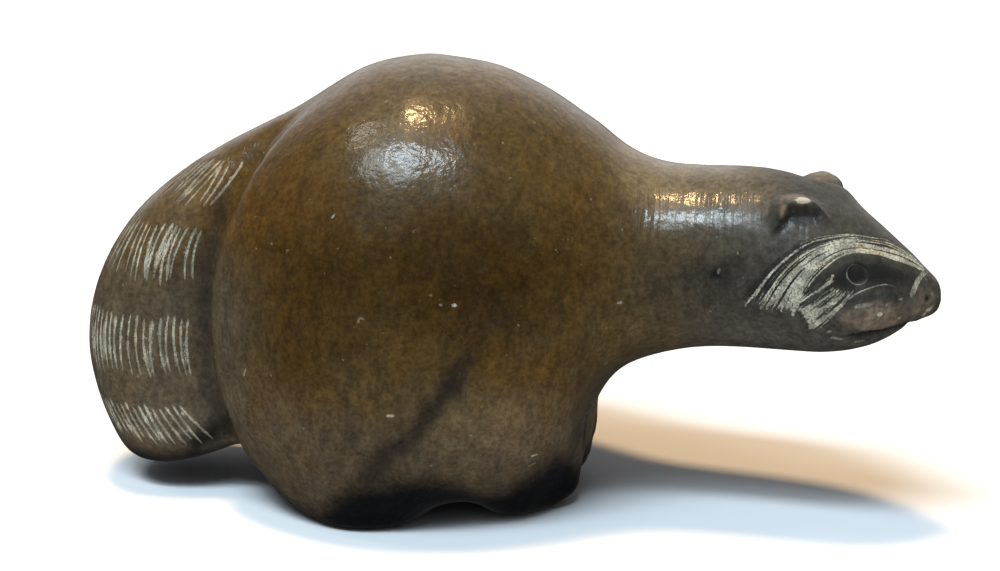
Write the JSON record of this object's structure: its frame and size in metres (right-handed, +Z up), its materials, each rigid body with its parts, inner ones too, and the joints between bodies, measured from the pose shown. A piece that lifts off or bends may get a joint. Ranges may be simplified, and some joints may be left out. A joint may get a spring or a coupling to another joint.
{
  "type": "raccoon fetish carving",
  "caption": "Small carved stone raccoon, standing on its feet with a heavy tail against its rump and its neck stretched forward.",
  "frame": {"origin": "middle of the bounding box's underside, on the plane that the feet stand on", "axes": "+X is the way the animal's body faces, +Z up, its right side towards -Y"},
  "size_m": [0.1254, 0.0576, 0.0648],
  "materials": {
    "soapstone": "waxed and hand-polished brown soapstone with olive and rust mottling, pale scratched lines in the carving"
  },
  "bodies": {
    "root": {"raccoon": "soapstone"}
  },
  "joints": []
}
